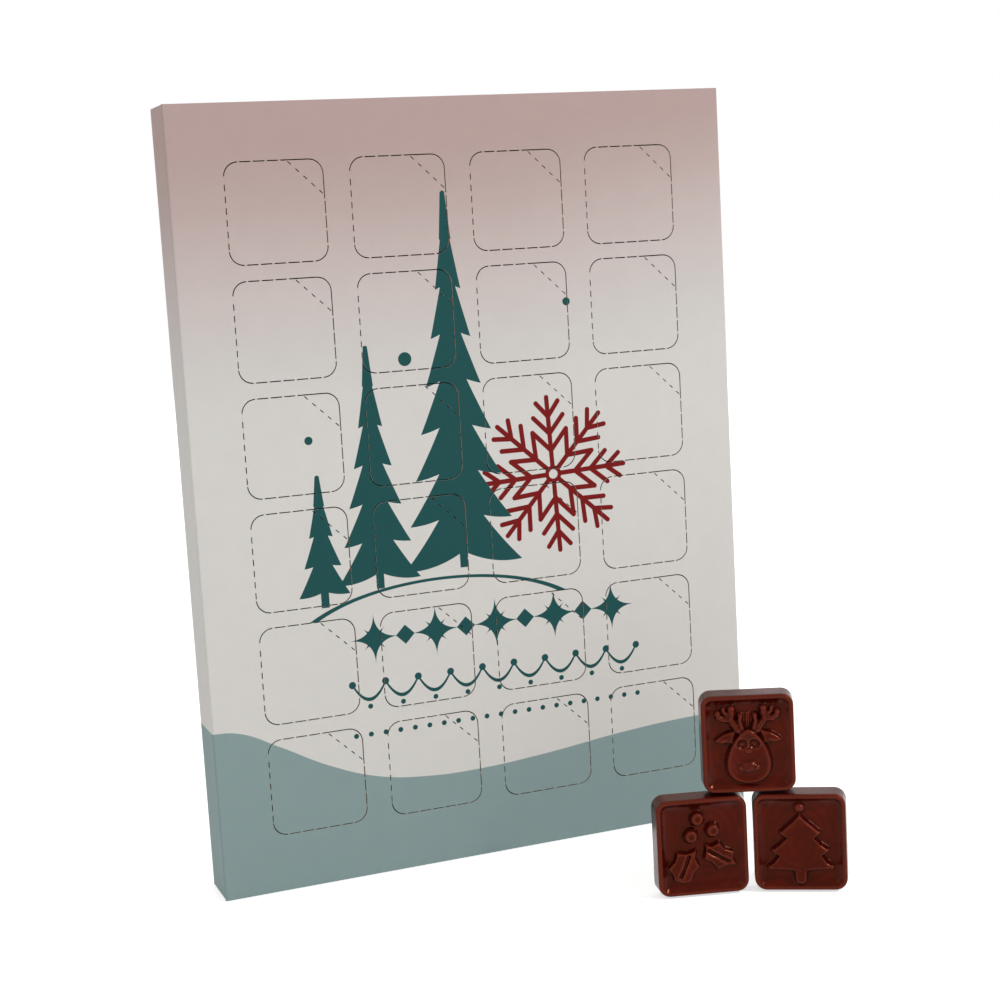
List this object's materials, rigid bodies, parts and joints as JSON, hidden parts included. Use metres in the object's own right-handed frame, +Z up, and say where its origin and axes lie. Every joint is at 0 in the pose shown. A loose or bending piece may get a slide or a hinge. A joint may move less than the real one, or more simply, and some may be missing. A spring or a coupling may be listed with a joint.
{
  "type": "chocolate advent calendar",
  "caption": "Upright folded carton with perforated doors over a tray of moulded chocolates, and loose chocolates stacked in front.",
  "frame": {"origin": "centre of the carton's bottom face", "axes": "+Z up along the carton's height, -Y out of the door side, +X to the right as a person facing the doors sees it"},
  "size_m": [0.21, 0.1213, 0.28],
  "materials": {
    "printed_board": "coated folding boxboard with a satin print: pink fading to off-white, sage wave, dark green and red motifs",
    "plain_board": "uncoated inner side of the boxboard",
    "formed_tray": "thin formed sheet, satin golden brown",
    "chocolate": "moulded chocolate, satin, deep red-brown"
  },
  "bodies": {
    "carton": {"front_panel": "printed_board", "back_panel": "printed_board", "left_side_wall": "printed_board", "right_side_wall": "printed_board", "top_end_flap": "printed_board", "bottom_end_flap": "printed_board", "glue_flap": "plain_board", "chocolate_tray": "formed_tray", "chocolate_01": "chocolate", "chocolate_02": "chocolate", "chocolate_03": "chocolate", "chocolate_04": "chocolate", "chocolate_05": "chocolate", "chocolate_06": "chocolate", "chocolate_07": "chocolate", "chocolate_08": "chocolate", "chocolate_09": "chocolate", "chocolate_10": "chocolate", "chocolate_11": "chocolate", "chocolate_12": "chocolate", "chocolate_13": "chocolate", "chocolate_14": "chocolate", "chocolate_15": "chocolate", "chocolate_16": "chocolate", "chocolate_17": "chocolate", "chocolate_18": "chocolate", "chocolate_19": "chocolate", "chocolate_20": "chocolate", "chocolate_21": "chocolate", "chocolate_22": "chocolate", "chocolate_23": "chocolate", "chocolate_24": "chocolate", "loose_chocolate_holly": "chocolate", "loose_chocolate_tree": "chocolate", "loose_chocolate_reindeer": "chocolate"},
    "door_01": {"door_01": "printed_board"},
    "door_02": {"door_02": "printed_board"},
    "door_03": {"door_03": "printed_board"},
    "door_04": {"door_04": "printed_board"},
    "door_05": {"door_05": "printed_board"},
    "door_06": {"door_06": "printed_board"},
    "door_07": {"door_07": "printed_board"},
    "door_08": {"door_08": "printed_board"},
    "door_09": {"door_09": "printed_board"},
    "door_10": {"door_10": "printed_board"},
    "door_11": {"door_11": "printed_board"},
    "door_12": {"door_12": "printed_board"},
    "door_13": {"door_13": "printed_board"},
    "door_14": {"door_14": "printed_board"},
    "door_15": {"door_15": "printed_board"},
    "door_16": {"door_16": "printed_board"},
    "door_17": {"door_17": "printed_board"},
    "door_18": {"door_18": "printed_board"},
    "door_19": {"door_19": "printed_board"},
    "door_20": {"door_20": "printed_board"},
    "door_21": {"door_21": "printed_board"},
    "door_22": {"door_22": "printed_board"},
    "door_23": {"door_23": "printed_board"},
    "door_24": {"door_24": "printed_board"}
  },
  "joints": [
    {"name": "door_01_hinge", "type": "hinge", "parent": "carton", "child": "door_01", "pos_m": [-0.08555, -0.01, 0.2423], "axis": [0, 0, -1], "range_deg": [0, 120]},
    {"name": "door_02_hinge", "type": "hinge", "parent": "carton", "child": "door_02", "pos_m": [-0.04065, -0.01, 0.2423], "axis": [0, 0, -1], "range_deg": [0, 120]},
    {"name": "door_03_hinge", "type": "hinge", "parent": "carton", "child": "door_03", "pos_m": [0.00425, -0.01, 0.2423], "axis": [0, 0, -1], "range_deg": [0, 120]},
    {"name": "door_04_hinge", "type": "hinge", "parent": "carton", "child": "door_04", "pos_m": [0.04915, -0.01, 0.2423], "axis": [0, 0, -1], "range_deg": [0, 120]},
    {"name": "door_05_hinge", "type": "hinge", "parent": "carton", "child": "door_05", "pos_m": [-0.08555, -0.01, 0.2015], "axis": [0, 0, -1], "range_deg": [0, 120]},
    {"name": "door_06_hinge", "type": "hinge", "parent": "carton", "child": "door_06", "pos_m": [-0.04065, -0.01, 0.2015], "axis": [0, 0, -1], "range_deg": [0, 120]},
    {"name": "door_07_hinge", "type": "hinge", "parent": "carton", "child": "door_07", "pos_m": [0.00425, -0.01, 0.2015], "axis": [0, 0, -1], "range_deg": [0, 120]},
    {"name": "door_08_hinge", "type": "hinge", "parent": "carton", "child": "door_08", "pos_m": [0.04915, -0.01, 0.2015], "axis": [0, 0, -1], "range_deg": [0, 120]},
    {"name": "door_09_hinge", "type": "hinge", "parent": "carton", "child": "door_09", "pos_m": [-0.08555, -0.01, 0.1607], "axis": [0, 0, -1], "range_deg": [0, 120]},
    {"name": "door_10_hinge", "type": "hinge", "parent": "carton", "child": "door_10", "pos_m": [-0.04065, -0.01, 0.1607], "axis": [0, 0, -1], "range_deg": [0, 120]},
    {"name": "door_11_hinge", "type": "hinge", "parent": "carton", "child": "door_11", "pos_m": [0.00425, -0.01, 0.1607], "axis": [0, 0, -1], "range_deg": [0, 120]},
    {"name": "door_12_hinge", "type": "hinge", "parent": "carton", "child": "door_12", "pos_m": [0.04915, -0.01, 0.1607], "axis": [0, 0, -1], "range_deg": [0, 120]},
    {"name": "door_13_hinge", "type": "hinge", "parent": "carton", "child": "door_13", "pos_m": [-0.08555, -0.01, 0.1199], "axis": [0, 0, -1], "range_deg": [0, 120]},
    {"name": "door_14_hinge", "type": "hinge", "parent": "carton", "child": "door_14", "pos_m": [-0.04065, -0.01, 0.1199], "axis": [0, 0, -1], "range_deg": [0, 120]},
    {"name": "door_15_hinge", "type": "hinge", "parent": "carton", "child": "door_15", "pos_m": [0.00425, -0.01, 0.1199], "axis": [0, 0, -1], "range_deg": [0, 120]},
    {"name": "door_16_hinge", "type": "hinge", "parent": "carton", "child": "door_16", "pos_m": [0.04915, -0.01, 0.1199], "axis": [0, 0, -1], "range_deg": [0, 120]},
    {"name": "door_17_hinge", "type": "hinge", "parent": "carton", "child": "door_17", "pos_m": [-0.08555, -0.01, 0.0791], "axis": [0, 0, -1], "range_deg": [0, 120]},
    {"name": "door_18_hinge", "type": "hinge", "parent": "carton", "child": "door_18", "pos_m": [-0.04065, -0.01, 0.0791], "axis": [0, 0, -1], "range_deg": [0, 120]},
    {"name": "door_19_hinge", "type": "hinge", "parent": "carton", "child": "door_19", "pos_m": [0.00425, -0.01, 0.0791], "axis": [0, 0, -1], "range_deg": [0, 120]},
    {"name": "door_20_hinge", "type": "hinge", "parent": "carton", "child": "door_20", "pos_m": [0.04915, -0.01, 0.0791], "axis": [0, 0, -1], "range_deg": [0, 120]},
    {"name": "door_21_hinge", "type": "hinge", "parent": "carton", "child": "door_21", "pos_m": [-0.08555, -0.01, 0.0383], "axis": [0, 0, -1], "range_deg": [0, 120]},
    {"name": "door_22_hinge", "type": "hinge", "parent": "carton", "child": "door_22", "pos_m": [-0.04065, -0.01, 0.0383], "axis": [0, 0, -1], "range_deg": [0, 120]},
    {"name": "door_23_hinge", "type": "hinge", "parent": "carton", "child": "door_23", "pos_m": [0.00425, -0.01, 0.0383], "axis": [0, 0, -1], "range_deg": [0, 120]},
    {"name": "door_24_hinge", "type": "hinge", "parent": "carton", "child": "door_24", "pos_m": [0.04915, -0.01, 0.0383], "axis": [0, 0, -1], "range_deg": [0, 120]}
  ]
}
